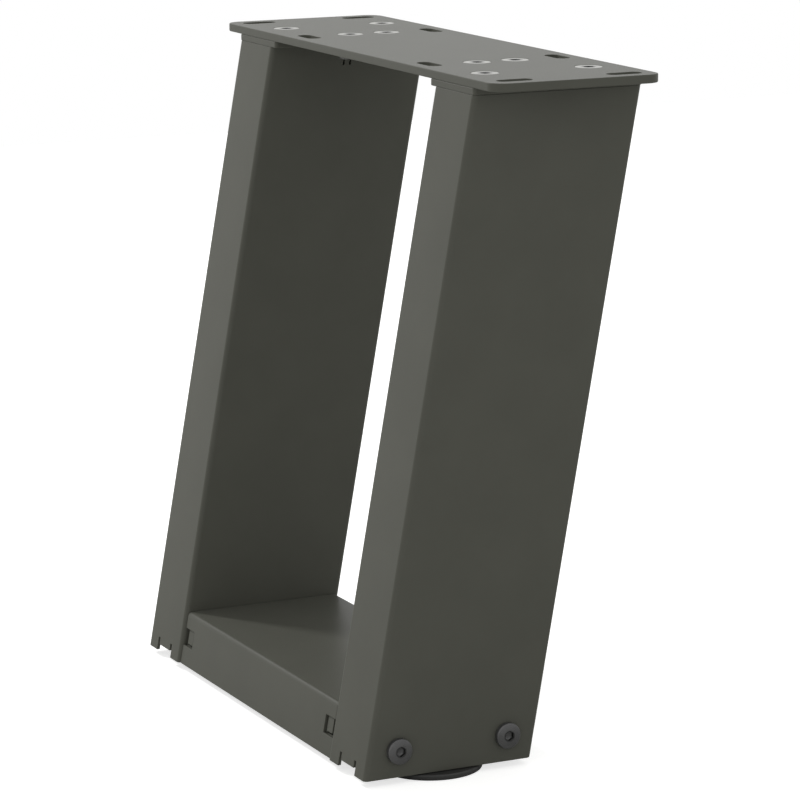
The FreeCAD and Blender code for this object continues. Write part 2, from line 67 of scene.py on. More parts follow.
def rounded_line(corners, radius, step, closed=True):
    """Points and right-hand normals of a line through corners, each corner an arc tangent to both its runs.

    Run between arcs: start + share * (end - start). Arc: centre + turn * radius * normal, the normal turned
    by the angle, where turn is +1 for a corner to the left and -1 for one to the right.
    """
    corners = np.asarray(corners, float)
    count = len(corners)
    radii = np.broadcast_to(np.asarray(radius, float), (count,))
    run = np.roll(corners, -1, 0) - corners
    length = np.maximum(np.hypot(run[:, 0], run[:, 1]), 1e-12)
    way = run / length[:, None]
    before = np.roll(way, 1, 0)
    bend = np.arctan2(before[:, 0] * way[:, 1] - before[:, 1] * way[:, 0], (before * way).sum(1))
    if not closed:
        bend[[0, -1]] = 0
    cutback = np.abs(radii * np.tan(bend / 2))
    points, normals = [], []
    for i in range(count):
        if closed or 0 < i < count - 1:
            corner_turn = abs(bend[i])
            pieces = max(2, math.ceil(corner_turn * radii[i] / step), math.ceil(corner_turn / WIDEST_TURN))
            angle = np.linspace(0, bend[i], pieces + 1)
            side = np.sign(bend[i])
            first = np.array([before[i, 1], -before[i, 0]])
            turned_normal = np.stack([first[0] * np.cos(angle) - first[1] * np.sin(angle),
                                      first[0] * np.sin(angle) + first[1] * np.cos(angle)], 1)
            start = corners[i] - before[i] * cutback[i]
            points.append(start - side * radii[i] * first + side * radii[i] * turned_normal)
            normals.append(turned_normal)
        elif i == 0:
            points.append(corners[:1])
            normals.append(np.array([[way[0, 1], -way[0, 0]]]))
        else:
            points.append(corners[-1:])
            normals.append(np.array([[before[-1, 1], -before[-1, 0]]]))
        if closed or i < count - 1:
            nxt = (i + 1) % count
            straight = length[i] - cutback[i] - cutback[nxt]
            pieces = max(1, math.ceil(straight / step))
            inner = np.arange(1, pieces)[:, None] * straight / pieces
            if len(inner):
                points.append(corners[i] + way[i] * cutback[i] + inner * way[i])
                normals.append(np.repeat([[way[i, 1], -way[i, 0]]], len(inner), 0))
    return np.vstack(points), np.vstack(normals)


def inside(where, loops, batch=2000):
    """True where a ray from the point towards +X crosses an odd number of the loops' edges."""
    start = np.vstack(loops)
    end = np.vstack([np.roll(loop, -1, 0) for loop in loops])
    odd = []
    for part in np.array_split(where, max(1, len(where) // batch)):
        x, y = part[:, :1], part[:, 1:]
        spans = (start[:, 1] > y) != (end[:, 1] > y)
        rise = np.where(end[:, 1] == start[:, 1], 1, end[:, 1] - start[:, 1])
        crossing = start[:, 0] + (y - start[:, 1]) * (end[:, 0] - start[:, 0]) / rise
        odd.append((spans & (x < crossing)).sum(1) % 2 == 1)
    return np.concatenate(odd)


def flat_triangles(loops, rows, closeness=1e-7):
    """Triangles between closed loops, with the extra points of rows used too, all in the flat blank."""
    points = np.vstack(loops + ([rows] if len(rows) else []))
    first, edges = 0, []
    for loop in loops:
        numbers = np.arange(len(loop))
        edges += np.stack([first + numbers, first + np.roll(numbers, -1)], 1).tolist()
        first += len(loop)
    corners, _, faces, *_ = delaunay_2d_cdt([Vector(p) for p in points], edges, [], 0, closeness)
    corners = np.array([c[:] for c in corners])
    faces = np.array(faces)
    keep = inside(corners[faces].mean(1), loops)
    return corners, faces[keep]


def grid_faces(first, rows, around, closed=True):
    """Four-cornered faces of a grid whose points are numbered row by row, each row closed or open."""
    a, row = np.arange(around if closed else around - 1), np.arange(rows - 1)[:, None] * around
    b = (a + 1) % around
    faces = np.stack([row + a, row + b, row + around + b, row + around + a], -1)
    return (first + faces).reshape(-1, 4).tolist()


def blank_shell(chains, place, thickness, rows=(), join=None):
    """A sheet cut from a flat blank and bent: positions, normals and faces.

    place(s, t, w) gives where the blank's point s, t lies after bending, w millimetres outside its outer
    skin. Each chain is a cut edge: its points move along their normals by the edge profile's first number
    and to the depth of its second, and both skins are triangles between the profiles' ends. The skins pass
    through the points of rows too, and join makes closed loops of open chains. A normal is the blank's own,
    carried over by the inverse transpose of the bend's derivative.
    """
    places, marks, faces, first = [], [], [], 0
    loops = {0: [], -1: []}
    for points, normals, closed, (edge, edge_normal) in chains:
        around, across = len(points), len(edge)
        moved = points[None] + edge[:, None, :1] * normals[None]
        depth = np.repeat(edge[:, 1], around)
        tilt = edge_normal[:, None, :1] * normals[None]
        places.append(np.column_stack([moved.reshape(-1, 2), depth]))
        marks.append(np.column_stack([tilt.reshape(-1, 2), np.repeat(edge_normal[:, 1], around)]))
        faces += grid_faces(first, across, around, closed)
        first += around * across
        loops[0].append(moved[0])
        loops[-1].append(moved[-1])
    for skin, level, way in ((0, -thickness, -1), (-1, 0.0, 1)):
        flat, triangles = flat_triangles(join(*loops[skin]) if join else loops[skin], rows)
        places.append(np.column_stack([flat, np.full(len(flat), level)]))
        marks.append(np.tile([0.0, 0.0, way], (len(flat), 1)))
        faces += (first + triangles[:, ::way]).tolist()
        first += len(flat)
    blank, mark = np.vstack(places), np.vstack(marks)
    nudge = 1e-3
    slope = np.stack([(place(*(blank + n).T) - place(*(blank - n).T)) / (2 * nudge)
                      for n in nudge * np.eye(3)], 2)
    normals = np.linalg.solve(np.swapaxes(slope, 1, 2), mark[:, :, None])[:, :, 0]
    normals /= np.linalg.norm(normals, axis=1)[:, None]
    if np.linalg.det(slope).mean() < 0:
        faces = [face[::-1] for face in faces]
    return place(*blank.T), normals, faces


def cut_edge(thickness, rounding):
    """Profile of a cut edge, rounded on both sides, from the inner skin to the outer one."""
    profile = [(-rounding, -thickness), (0, -thickness), (0, 0), (-rounding, 0)]
    return rounded_line(profile, rounding, rounding / 2, closed=False)


def steel_piece(name, shells, body, slot, material, *nodes):
    """One object from shells of millimetre points, normals and faces; points that coincide become one.

    Before it rounds to a micrometre it adds a small shift, which keeps even places off the ties of rounding.
    """
    points, normals, faces, first = [], [], [], 0
    for shell_points, shell_normals, shell_faces in shells:
        points.append(shell_points)
        normals.append(shell_normals)
        faces += [[first + v for v in face] for face in shell_faces]
        first += len(shell_points)
    points, normals, shift = np.vstack(points) * 0.001, np.vstack(normals), 1.23e-7
    _, keep, number = np.unique(np.round(points + shift, 6), axis=0, return_index=True, return_inverse=True)
    number = number.ravel()
    faces = [list(dict.fromkeys(number[face].tolist())) for face in faces]
    mesh = bpy.data.meshes.new(name)
    mesh.from_pydata(points[keep].tolist(), [], [face for face in faces if len(face) > 2])
    mesh.polygons.foreach_set("use_smooth", np.ones(len(mesh.polygons), bool))
    mesh.update()
    mesh.normals_split_custom_set_from_vertices(normals[keep].tolist())
    mesh.materials.append(material)
    piece = bpy.data.objects.new(name, mesh)
    bpy.context.scene.collection.objects.link(piece)
    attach(piece, body)
    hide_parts(*nodes)


def grain_group():
    """Node group for a sprayed or cast skin: a broad tone and a fine grain, both from Object coordinates."""
    group = bpy.data.node_groups.new("skin_grain", "ShaderNodeTree")
    for label, low in (("Broad Scale", 12.0), ("Fine Scale", 1500.0)):
        group.interface.new_socket(label, in_out="INPUT", socket_type="NodeSocketFloat").default_value = low
    for label in ("Broad", "Fine"):
        group.interface.new_socket(label, in_out="OUTPUT", socket_type="NodeSocketFloat")
    nodes, links = group.nodes, group.links
    enter, leave = nodes.new("NodeGroupInput"), nodes.new("NodeGroupOutput")
    where = nodes.new("ShaderNodeTexCoord")
    for label, detail in (("Broad", 4.0), ("Fine", 3.0)):
        noise = nodes.new("ShaderNodeTexNoise")
        noise.inputs["Detail"].default_value = detail
        noise.inputs["Roughness"].default_value = 0.55
        links.new(where.outputs["Object"], noise.inputs["Vector"])
        links.new(enter.outputs[label + " Scale"], noise.inputs["Scale"])
        links.new(noise.outputs["Fac"], leave.inputs[label])
    return group


GRAIN = grain_group()


def coated(name, dark, light, rough, broad, fine, bump, metallic=0.0, specular=0.5):
    """Material from the grain group: broad tone between two colours, fine grain in roughness and bump."""
    material = bpy.data.materials.new(name)
    material.use_nodes = True
    nodes, links = material.node_tree.nodes, material.node_tree.links
    shader = nodes["Principled BSDF"]
    shader.inputs["Metallic"].default_value = metallic
    shader.inputs["Specular IOR Level"].default_value = specular
    grain = nodes.new("ShaderNodeGroup")
    grain.node_tree = GRAIN
    grain.inputs["Broad Scale"].default_value = broad
    grain.inputs["Fine Scale"].default_value = fine
    tone = nodes.new("ShaderNodeMapRange")
    tone.inputs["From Min"].default_value, tone.inputs["From Max"].default_value = 0.35, 0.65
    mix = nodes.new("ShaderNodeMix")
    mix.data_type = "RGBA"
    mix.inputs["A"].default_value, mix.inputs["B"].default_value = dark, light
    gloss = nodes.new("ShaderNodeMapRange")
    gloss.inputs["From Min"].default_value, gloss.inputs["From Max"].default_value = 0.3, 0.7
    gloss.inputs["To Min"].default_value, gloss.inputs["To Max"].default_value = rough
    relief = nodes.new("ShaderNodeBump")
    relief.inputs["Strength"].default_value = bump
    relief.inputs["Distance"].default_value = 0.0002
    links.new(grain.outputs["Broad"], tone.inputs["Value"])
    links.new(tone.outputs["Result"], mix.inputs["Factor"])
    links.new(mix.outputs["Result"], shader.inputs["Base Color"])
    links.new(grain.outputs["Fine"], gloss.inputs["Value"])
    links.new(gloss.outputs["Result"], shader.inputs["Roughness"])
    links.new(grain.outputs["Fine"], relief.inputs["Height"])
    links.new(relief.outputs["Normal"], shader.inputs["Normal"])
    return material


POWDER_COAT = coated("powder_coat_grey", COAT_DARK, COAT_LIGHT, rough=(0.34, 0.42), broad=26.0, fine=1400.0,
                     bump=0.12, specular=0.1)


def rectangle(left, low, right, high, opening=False):
    """Corners of a rectangle, run anticlockwise, or clockwise for an opening."""
    corners = [(left, low), (right, low), (right, high), (left, high)]
    return corners[:1] + corners[:0:-1] if opening else corners


def hole(x, y, radius, profile):
    """Round hole: a loop that runs clockwise, so that its normals point into the hole."""
    angle = -np.linspace(0, 2 * np.pi, max(24, int(2 * np.pi * radius / HOLE_STEP)), endpoint=False)
    circle = np.stack([np.cos(angle), np.sin(angle)], 1)
    return np.array([x, y]) + radius * circle, -circle, True, profile


def slot_loop(x, y, half_x, half_y, profile):
    """Slot with half-round ends, run clockwise round its middle."""
    end = min(half_x, half_y) - 1e-3
    corners = rectangle(x - half_x, y - half_y, x + half_x, y + half_y, opening=True)
    return (*rounded_line(corners, end, HOLE_STEP), True, profile)


plate_outline = rectangle(-PLATE_HALF_X, -PLATE_HALF_Y, PLATE_HALF_X, PLATE_HALF_Y)
plate_edge = cut_edge(PLATE_THICK, PLATE_ROUNDING)
plate_cut = [(*rounded_line(plate_outline, PLATE_CORNER, OUTLINE_STEP), True, plate_edge)]
slot_edge = cut_edge(PLATE_THICK, SLOT_ROUNDING)
sink_step = SINK_RADIUS - HOLE_RADIUS
sink_edge = rounded_line([(-SINK_LAND, -PLATE_THICK), (0, -PLATE_THICK), (0, -sink_step), (-sink_step, 0),
                          (-sink_step - SINK_LAND, 0)], SINK_ROUNDING, SINK_ROUNDING / 2, closed=False)
for sx in (-1, 1):
    for sy in (-1, 1):
        plate_cut += [slot_loop(sx * x, sy * y, half_x, half_y, slot_edge) for x, y, half_x, half_y in SLOTS]
        plate_cut += [hole(sx * x, sy * y, HOLE_RADIUS, sink_edge) for x, y in SCREW_PLACES]


def on_plate(s, t, w):
    """The plate isn't bent: s and t are X and Y, and its outer skin is the plane Z = 0."""
    return np.stack([s, t, w], 1)


plate_sheet = blank_shell(plate_cut, on_plate, PLATE_THICK)
steel_piece("screw_plate", [plate_sheet], "frame", "powder_coat", POWDER_COAT, "top_plate")

# Flanges: 4 mm steel, one welded on top of each leg and coated with it. The tongue that reaches
# inwards under the plate takes the two inner screws of that leg.
FLANGE_THICK, FLANGE_OUTER, FLANGE_INNER, TONGUE_END, TONGUE_HALF = 4.0, 164.5, 109.0, 73.0, 25.0
FLANGE_CORNERS, FLANGE_ROUNDING = (2, 2, 2, 3, 6, 6, 3, 2), 0.5
SIDES = ((-1, "left"), (1, "right"))

flange_edge = cut_edge(FLANGE_THICK, FLANGE_ROUNDING)
flange_outline = rounded_line(
    [(FLANGE_OUTER, -PLATE_HALF_Y), (FLANGE_OUTER, PLATE_HALF_Y), (FLANGE_INNER, PLATE_HALF_Y),
     (FLANGE_INNER, TONGUE_HALF), (TONGUE_END, TONGUE_HALF), (TONGUE_END, -TONGUE_HALF),
     (FLANGE_INNER, -TONGUE_HALF), (FLANGE_INNER, -PLATE_HALF_Y)], FLANGE_CORNERS, OUTLINE_STEP)
flange_cut = [(*flange_outline, True, flange_edge)]
flange_cut += [hole(x, sy * y, HOLE_RADIUS, flange_edge) for x, y in SCREW_PLACES for sy in (-1, 1)]

for side, tag in SIDES:
    def on_flange(s, t, w):
        """Flat under the plate; the left flange is the right one mirrored in X."""
        return np.stack([side * s, t, w - PLATE_THICK], 1)

    flange_sheet = blank_shell(flange_cut, on_flange, FLANGE_THICK)
    steel_piece(f"flange_plate_{tag}", [flange_sheet], "frame", "powder_coat", POWDER_COAT, f"{tag}_flange")

# Legs: each a box folded from one 2 mm blank, closed by a ground weld in the middle of its back
# wall, leaning forwards towards its foot. Two slits open the top of the inner wall; at the foot
# two relief slits free a tab in the front and in the back wall, and its lip is turned inwards.
LEG_X, LEG_TOP, LEG_FOOT, LEAN = 139.5, -9.0, -400.0, 0.18
LEG_HALF_X, LEG_HALF_Y, SHEET, BEND = 25.0, 54.0, 2.0, 3.0
SLIT_OFFSET, SLIT_HALF, SLIT_LOW = 2.2, 0.6, -22.5
TAB_HALF, RELIEF_FAR, RELIEF_TOP, TAB_FOOT, LIP_LENGTH = 8.5, 11.0, -391.5, -396.0, 12.0
LIP_ROOT, LIP_CORNER, LIP_STEP = 1.2, 0.5, 2.0
SIDE_SCREW_Z, SIDE_SCREW_Y = -384.0, 35.0
SHEET_ROUNDING, RELIEF_CORNER, WELD_POINTS = 0.3, 0.35, 200
SECTION_STEP, CUT_STEP, ROW_STEP, ROWS_ACROSS = 0.15, 0.8, 2.0, 7


def leg_y(z):
    """Y of the legs' middle line at height z: the lean times the height below the legs' top."""
    return LEAN * (z - LEG_TOP)


def bent_path(corners, radius):
    """A bent section: place and right-hand normal as a function of the length, that length, and the bends.

    Both are interpolated between the section's points, and past its ends the place goes straight on.
    """
    points, normals = rounded_line(corners, radius, SECTION_STEP, closed=False)
    gap = np.hypot(*np.diff(points, axis=0).T)
    along = np.concatenate([[0], np.cumsum(gap)])
    bends = [i for i in range(1, len(along) - 1) if np.abs(normals[i] - normals[i - 1]).max() > 1e-9]
    groups = np.split(np.array(bends), np.nonzero(np.diff(bends) > 1)[0] + 1) if bends else []
    spans = [(along[g[0] - 1], along[g[-1]]) for g in groups]

    def at(s):
        outside = np.maximum(s - along[-1], 0) + np.minimum(s, 0)
        end = np.where((s > along[-1])[:, None], points[-1] - points[-2], points[1] - points[0])
        end = end / np.hypot(end[:, 0], end[:, 1])[:, None]
        place = np.stack([np.interp(s, along, points[:, 0]), np.interp(s, along, points[:, 1])], 1)
        normal = np.stack([np.interp(s, along, normals[:, 0]), np.interp(s, along, normals[:, 1])], 1)
        return place + outside[:, None] * end, normal / np.hypot(normal[:, 0], normal[:, 1])[:, None]

    return at, along[-1], spans


def bend_rows(spans, low, high):
    """Grid points over each bend, so that the skins follow it."""
    along = np.arange(low + ROW_STEP, high - ROW_STEP / 2, ROW_STEP)
    grids = [np.meshgrid(np.linspace(a, b, ROWS_ACROSS), along) for a, b in spans]
    return np.vstack([np.stack(grid, -1).reshape(-1, 2) for grid in grids])


leg_section, leg_girth, leg_bends = bent_path(
    [(0, LEG_HALF_Y), (-LEG_HALF_X, LEG_HALF_Y), (-LEG_HALF_X, -LEG_HALF_Y), (LEG_HALF_X, -LEG_HALF_Y),
     (LEG_HALF_X, LEG_HALF_Y), (0, LEG_HALF_Y)], BEND)
front_at, inner_at = leg_girth / 2, leg_girth / 4
outer_at = leg_girth - inner_at
sheet_edge = cut_edge(SHEET, SHEET_ROUNDING)


def notched(middle):
    """Corners of the relief, the tab and the other relief at the foot of a narrow wall, round its middle."""
    start, left, right, end = (middle + reach for reach in (-RELIEF_FAR, -TAB_HALF, TAB_HALF, RELIEF_FAR))
    return [(start, LEG_FOOT), (start, RELIEF_TOP), (left, RELIEF_TOP), (left, TAB_FOOT),
            (right, TAB_FOOT), (right, RELIEF_TOP), (end, RELIEF_TOP), (end, LEG_FOOT)]


foot_corners = [(0, TAB_FOOT), *notched(0)[4:], *notched(front_at), *notched(leg_girth)[:4]]
foot_line = rounded_line(foot_corners + [(leg_girth, TAB_FOOT)], RELIEF_CORNER, CUT_STEP, closed=False)
top_corners = [(leg_girth, LEG_TOP)]
for middle in (inner_at + SLIT_OFFSET, inner_at - SLIT_OFFSET):
    left, right = middle - SLIT_HALF, middle + SLIT_HALF
    top_corners += [(right, LEG_TOP), (right, SLIT_LOW), (left, SLIT_LOW), (left, LEG_TOP)]
top_line = rounded_line(top_corners + [(0, LEG_TOP)], RELIEF_CORNER, CUT_STEP, closed=False)
leg_cut = [(*foot_line, False, sheet_edge), (*top_line, False, sheet_edge)]
leg_cut += [hole(outer_at + sy * SIDE_SCREW_Y, SIDE_SCREW_Z, HOLE_RADIUS, sheet_edge) for sy in (-1, 1)]


def weld_sides(foot, top, *holes):
    """Close the blank along its two welded sides, which carry the same points."""
    heights = np.linspace(foot[-1, 1], top[0, 1], WELD_POINTS)[1:-1]
    up = np.column_stack([np.full(len(heights), leg_girth), heights])
    down = np.column_stack([np.zeros(len(heights)), heights[::-1]])
    return [np.vstack([foot, up, top, down]), *holes]


leg_rows = bend_rows(leg_bends, LEG_FOOT, LEG_TOP)
for side, tag in SIDES:
    def on_leg(s, t, w):
        """Round the box by s, up it by t; the wall is measured square to the leaning front and back."""
        place, normal = leg_section(s)
        across = place[:, 1] + w * normal[:, 1] * math.hypot(1, LEAN) + leg_y(t)
        return np.stack([side * (LEG_X + place[:, 0] + w * normal[:, 0]), across, t], 1)

    def on_lip(s, t, w):
        """Flat lip: s across the leg, t along Y."""
        return np.stack([side * (LEG_X + s), t, TAB_FOOT + SHEET + w], 1)

    shells = [blank_shell(leg_cut, on_leg, SHEET, leg_rows, weld_sides)]
    for sy in (-1, 1):
        root = leg_y(TAB_FOOT) + sy * (LEG_HALF_Y - LIP_ROOT)
        tip = leg_y(TAB_FOOT) + sy * (LEG_HALF_Y - SHEET - LIP_LENGTH)
        lip = rectangle(-TAB_HALF, min(root, tip), TAB_HALF, max(root, tip))
        lip_cut = [(*rounded_line(lip, LIP_CORNER, LIP_STEP), True, sheet_edge)]
        shells.append(blank_shell(lip_cut, on_lip, SHEET))
    steel_piece(f"folded_leg_{tag}", shells, "frame", "powder_coat", POWDER_COAT, f"{tag}_leg")

# Crosspiece: a channel folded from 2 mm sheet, open below, its two flanges leaning with the legs.
# Its ends are stepped: the foot reaches the leg's wall, and above it a notch leaves the tab of
# the bracket inside free.
CROSS_TOP, CROSS_HALF_Y = -367.0, 52.5
CROSS_FOOT_X, CROSS_NOTCH_X, CROSS_TOP_X = 114.3, 100.3, 113.5
NOTCH_LOW, NOTCH_HIGH, NOTCH_CORNER = -388.0, -377.0, 0.4

cross_section, cross_length, cross_bends = bent_path(
    [(leg_y(LEG_FOOT) + CROSS_HALF_Y, LEG_FOOT), (leg_y(CROSS_TOP) + CROSS_HALF_Y, CROSS_TOP),
     (leg_y(CROSS_TOP) - CROSS_HALF_Y, CROSS_TOP), (leg_y(LEG_FOOT) - CROSS_HALF_Y, LEG_FOOT)], BEND)
notch_from = (NOTCH_LOW - LEG_FOOT) * math.hypot(1, LEAN)
notch_to = (NOTCH_HIGH - LEG_FOOT) * math.hypot(1, LEAN)


def cross_end(x):
    """Corners of one end, from the back flange's foot to the front one's: x holds foot, notch and top."""
    foot, notch, top = x
    rise = [(0, foot), (notch_from, foot), (notch_from, notch), (notch_to, notch), (notch_to, top)]
    return rise + [(cross_length - s, reach) for s, reach in rise[::-1]]


near_end = cross_end((-CROSS_FOOT_X, -CROSS_NOTCH_X, -CROSS_TOP_X))
far_end = cross_end((CROSS_FOOT_X, CROSS_NOTCH_X, CROSS_TOP_X))[::-1]
cross_cut = [(*rounded_line(near_end + far_end, NOTCH_CORNER, CUT_STEP), True, sheet_edge)]
cross_rows = bend_rows(cross_bends, -CROSS_TOP_X, CROSS_TOP_X)


def on_crosspiece(s, t, w):
    """Over the channel by s, along it by t."""
    place, normal = cross_section(s)
    return np.column_stack([t, place + w[:, None] * normal])


steel_piece("folded_crosspiece", [blank_shell(cross_cut, on_crosspiece, SHEET, cross_rows)], "frame",
            "powder_coat", POWDER_COAT, "crosspiece")

# End brackets: U-shaped, 2.5 mm, one on each leg's inner wall inside the crosspiece. A tab stands
# out of each ear into the crosspiece's notch, and an opening is cut round its foot.
BRACKET_SHEET, BRACKET_TIP, WALL_X = 2.5, 87.5, 114.5
BRACKET_HALF = CROSS_HALF_Y - SHEET * math.hypot(1, LEAN)
BRACKET_LOW, BRACKET_HIGH = -398.5, -369.0
EAR_TAB_RISE, EAR_TAB_X, EAR_TAB_HALF, EAR_TAB_LOW, EAR_TAB_HIGH = 1.0, 106.2, 3.8, -386.6, -377.6
OPENING_HALF, OPENING_LOW, OPENING_HIGH = 4.9, -388.0, -378.2
EAR_TAB_THICK, EAR_TAB_ROUNDING = 2.0, 0.4
BRACKET_CORNER, EAR_TAB_CORNER, OPENING_CORNER = 2.0, 0.6, 0.4

bracket_section, bracket_length, bracket_bends = bent_path(
    rectangle(BRACKET_TIP, -BRACKET_HALF, WALL_X, BRACKET_HALF), BEND)
bracket_rows = bend_rows(bracket_bends, BRACKET_LOW, BRACKET_HIGH)
bracket_edge = cut_edge(BRACKET_SHEET, SHEET_ROUNDING)
bracket_outline = rectangle(0, BRACKET_LOW, bracket_length, BRACKET_HIGH)
bracket_cut = [(*rounded_line(bracket_outline, BRACKET_CORNER, CUT_STEP), True, bracket_edge)]
ear_tab_edge = cut_edge(EAR_TAB_THICK, EAR_TAB_ROUNDING)
ear_tab_cuts = []
for middle in (EAR_TAB_X - BRACKET_TIP, bracket_length - (EAR_TAB_X - BRACKET_TIP)):
    opening = rectangle(middle - OPENING_HALF, OPENING_LOW, middle + OPENING_HALF, OPENING_HIGH, opening=True)
    bracket_cut.append((*rounded_line(opening, OPENING_CORNER, CUT_STEP), True, bracket_edge))
    ear_tab = rectangle(middle - EAR_TAB_HALF, EAR_TAB_LOW, middle + EAR_TAB_HALF, EAR_TAB_HIGH)
    ear_tab_cuts.append([(*rounded_line(ear_tab, EAR_TAB_CORNER, CUT_STEP), True, ear_tab_edge)])

for side, tag in SIDES:
    def on_bracket(s, t, w):
        """Round the U by s, up it by t, leaning with the leg."""
        place, normal = bracket_section(s)
        moved = place + w[:, None] * normal
        return np.stack([side * moved[:, 0], moved[:, 1] + leg_y(t), t], 1)

    def on_ear_tab(s, t, w):
        """The ear's surface again, moved out by the tab's rise."""
        return on_bracket(s, t, w + EAR_TAB_RISE)

    shells = [blank_shell(bracket_cut, on_bracket, BRACKET_SHEET, bracket_rows)]
    shells += [blank_shell(ear_tab_cut, on_ear_tab, EAR_TAB_THICK) for ear_tab_cut in ear_tab_cuts]
    steel_piece(f"bracket_sheet_{tag}", shells, "frame", "powder_coat", POWDER_COAT, f"{tag}_end_bracket")

# Foot brackets: 3 mm, folded to an L in each leg's foot. The base lies on the turned-in lips and
# carries the foot's nut; the upright lies on the leg's outer wall and carries the side nuts.
FOOT_SHEET, FOOT_UNDER, FOOT_HEAD, FOOT_HALF_Y = 3.0, -394.0, -369.0, 47.97
FOOT_INNER, FOOT_OUTER, FOOT_BEND, FOOT_CORNER = 116.8, 162.5, 4.0, 2.0
FOOT_Y, FOOT_MIDDLE = leg_y(LEG_FOOT), leg_y(FOOT_UNDER + FOOT_SHEET)
UPRIGHT_LEAN = LEAN * (FOOT_HEAD - FOOT_UNDER - FOOT_SHEET) / (FOOT_HEAD - FOOT_UNDER)
SIDE_HOLE_SHIFT = -0.3

foot_section, foot_length, foot_bends = bent_path(
    [(FOOT_INNER, FOOT_UNDER), (FOOT_OUTER, FOOT_UNDER), (FOOT_OUTER, FOOT_HEAD)], FOOT_BEND)
foot_rows = bend_rows(foot_bends, -FOOT_HALF_Y, FOOT_HALF_Y)
foot_edge = cut_edge(FOOT_SHEET, SHEET_ROUNDING)
foot_outline = rectangle(0, -FOOT_HALF_Y, foot_length, FOOT_HALF_Y)
foot_cut = [(*rounded_line(foot_outline, FOOT_CORNER, CUT_STEP), True, foot_edge),
            hole(LEG_X - FOOT_INNER, FOOT_Y - FOOT_MIDDLE, HOLE_RADIUS, foot_edge)]
side_hole_at = foot_length - (FOOT_HEAD - SIDE_SCREW_Z)
foot_cut += [hole(side_hole_at, sy * SIDE_SCREW_Y + SIDE_HOLE_SHIFT, HOLE_RADIUS, foot_edge)
             for sy in (-1, 1)]

for side, tag in SIDES:
    def on_foot_bracket(s, t, w):
        """Along the L by s, across the leg by t; the upright leans a little with the leg."""
        place, normal = foot_section(s)
        moved = place + w[:, None] * normal
        across = t + FOOT_MIDDLE + (moved[:, 1] - FOOT_UNDER) * UPRIGHT_LEAN
        return np.stack([side * moved[:, 0], across, moved[:, 1]], 1)

    steel_piece(f"foot_bracket_sheet_{tag}", [blank_shell(foot_cut, on_foot_bracket, FOOT_SHEET, foot_rows)],
                "frame", "powder_coat", POWDER_COAT, f"{tag}_foot_bracket")

# Countersunk screws: M8 with a hexagon socket, bright zinc on turned steel, four over each leg.
# A short plain neck joins thread and cone, and the head lies a tenth of a millimetre under the
# plate's face. Each pair of a profile is a ring's radius and its height.
THREAD_RADIUS, THREAD_PITCH, THREAD_DEPTH, THREAD_PLAY = 4.0, 1.25, 0.66, 0.02
THREAD_ROWS, THREAD_RUN_OUT, FLANK_GAIN, FLANK_FLAT = 8, 0.8, 1.25, 0.12
TIP_RADIUS, TIP_CORE, TIP_CHAMFER, TIP_LENGTH = 2.6, 3.1, 0.15, 0.9
SOCKET_ACROSS, SOCKET_DEPTH, SOCKET_CHAMFER, SOCKET_CONE = 5.0, 2.8, 0.5, 2.2
# Rings of a head's socket that are painted black as shade: all five, or the mouth and walls only.
SOCKET_ALL, SOCKET_WALLS = slice(-5, None), slice(-5, -2)
SHARP_FROM, MERGE_WITHIN = math.radians(34), 2e-6
AROUND = np.linspace(0, 2 * np.pi, 48, endpoint=False)
SUNK_TOP, SUNK_FOOT, SUNK_RADIUS, SUNK_THREAD_END = -0.1, -16.0, 8.0, -5.4
SUNK_PROFILE = ((THREAD_RADIUS, -5.2), (THREAD_RADIUS, -4.4), (SUNK_RADIUS - 0.12, -0.55),
                (SUNK_RADIUS, -0.42), (SUNK_RADIUS, SUNK_TOP - 0.12), (SUNK_RADIUS - 0.14, SUNK_TOP),
                (5.2, SUNK_TOP))
ZINC_DARK, ZINC_LIGHT = (0.40, 0.40, 0.38, 1), (0.50, 0.50, 0.47, 1)
# Painted shade: the black that stands in for the shade inside a screw's socket.
SOCKET_PAINTED_SHADE = (0.020, 0.020, 0.019, 1)


def hexagon(angle, across):
    """Radius of a hexagon at each angle: half its width over the cosine of the angle from a flat's middle."""
    return across / 2 / np.cos((angle + np.pi / 6) % (np.pi / 3) - np.pi / 6)


def thread_rings(low, high, angle=AROUND):
    """Radius and height of a thread: a triangle wave of height over pitch less turn, run out at both ends."""
    height = np.arange(low, high, THREAD_PITCH / THREAD_ROWS)[:, None] + 0 * angle
    phase = (height / THREAD_PITCH - angle / (2 * np.pi)) % 1
    run_out = np.clip(np.minimum(height - low, high - height) / (THREAD_RUN_OUT * THREAD_PITCH), 0, 1)
    depth = THREAD_DEPTH * np.clip(np.abs(2 * phase - 1) * FLANK_GAIN - FLANK_FLAT, 0, 1)
    return THREAD_RADIUS - THREAD_PLAY - depth * run_out, height


def turned(rings, angle=AROUND):
    """Surface of rings round an axis: radius times the angle's cosine and sine, and height along the axis."""
    radius = np.vstack([r for r, _ in rings])
    height = np.vstack([h for _, h in rings])
    return np.stack([radius * np.cos(angle), radius * np.sin(angle), height], -1)


def ring(radius, height, angle=AROUND):
    """One ring of a turned surface, whose radius may change with the angle."""
    return np.broadcast_to(radius, angle.shape)[None], np.full((1, len(angle)), float(height))


def screw_tip(foot):
    """First rings of a screw: the flat end of its thread and the chamfer round it."""
    return [ring(0, foot), ring(TIP_RADIUS, foot), ring(TIP_CORE, foot + TIP_CHAMFER)]


def socket_rings(widening, mouth, wall, deep, corner):
    """Last five rings of a head: the socket's mouth, its hexagonal wall to the corner, and a shallow cone."""
    hole_wall = hexagon(AROUND, SOCKET_ACROSS)
    return [ring(hexagon(AROUND, SOCKET_ACROSS + SOCKET_CHAMFER) + widening, mouth), ring(hole_wall, wall),
            ring(hole_wall, deep + corner), ring(SOCKET_CONE, deep + corner / 2), ring(0, deep)]


